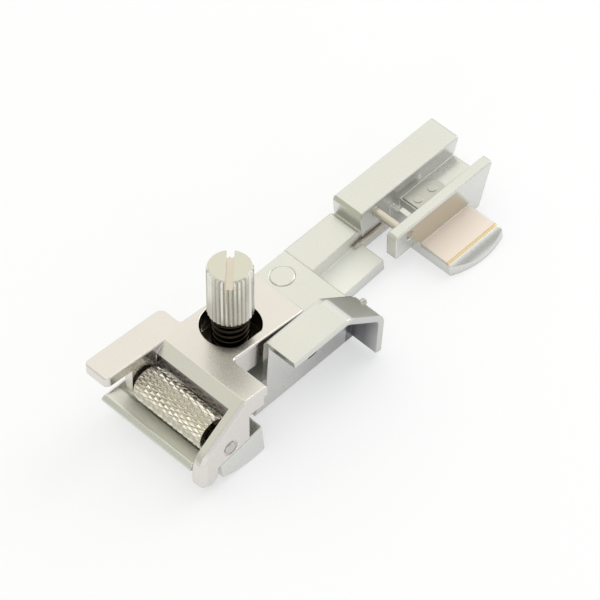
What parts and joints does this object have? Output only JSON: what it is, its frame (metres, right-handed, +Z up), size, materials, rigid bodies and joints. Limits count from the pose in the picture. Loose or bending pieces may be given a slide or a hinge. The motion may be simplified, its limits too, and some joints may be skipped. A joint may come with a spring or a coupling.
{
  "type": "sewing machine presser foot",
  "caption": "Long stepped presser foot for feeding elastic, with a sprung tilting lever that carries a knurled roller, a knurled thumb screw, an edge guide and a cross pin between rails.",
  "frame": {"origin": "point on the flat sole below the rear edge of the lever's cross head, on the lever's centre line", "axes": "+Z up from the sole, +Y toward the rails at the rear, +X toward the edge guide on the right"},
  "size_m": [0.0223, 0.0718, 0.0251],
  "materials": {
    "satin_nickel": "satin nickel plate",
    "knurled_nickel": "nickel plate over knurling",
    "pin_steel": "ground steel",
    "black_spring_steel": "blackened spring wire"
  },
  "bodies": {
    "foot": {"front_base": "satin_nickel", "rear_foot": "satin_nickel", "lap_rivet": "satin_nickel", "ankle_pin": "pin_steel", "stitch_finger": "pin_steel", "insert_plate": "satin_nickel", "insert_rivets": "pin_steel", "edge_guide": "satin_nickel", "guide_stud": "pin_steel", "guide_rivets": "pin_steel"},
    "lever": {"pressure_lever": "satin_nickel", "lever_pin": "pin_steel", "roller_shaft": "pin_steel", "roller_washer": "pin_steel"},
    "roller": {"feed_roller": "knurled_nickel"},
    "spring": {"pressure_spring": "black_spring_steel"},
    "screw": {"thumb_screw": "knurled_nickel"}
  },
  "joints": [
    {"name": "lever_lift", "type": "hinge", "parent": "foot", "child": "lever", "pos_m": [0, 0.0124, 0.0076], "axis": [-1, 0, 0], "range_deg": [0, 5], "stiffness_Nm_per_rad": 0.1, "springref_deg": -17.19},
    {"name": "roller_spin", "type": "hinge", "parent": "lever", "child": "roller", "pos_m": [0, -0.00781, 0.00645], "axis": [1, 0, 0], "continuous": true},
    {"name": "screw_feed", "type": "slide", "parent": "foot", "child": "spring", "axis": [0, 0.1132, 0.9936], "range_m": [-0.00125, 0.0005], "deforming": ["pressure_spring"]},
    {"name": "screw_turn", "type": "hinge", "parent": "spring", "child": "screw", "pos_m": [0, 0.00497, 0.01258], "axis": [0, 0.1132, 0.9936], "range_deg": [-902.5, 362.5]}
  ],
  "couplings": [
    {"joint": "screw_turn", "follows": "screw_feed", "rad_per_m": 12566}
  ]
}
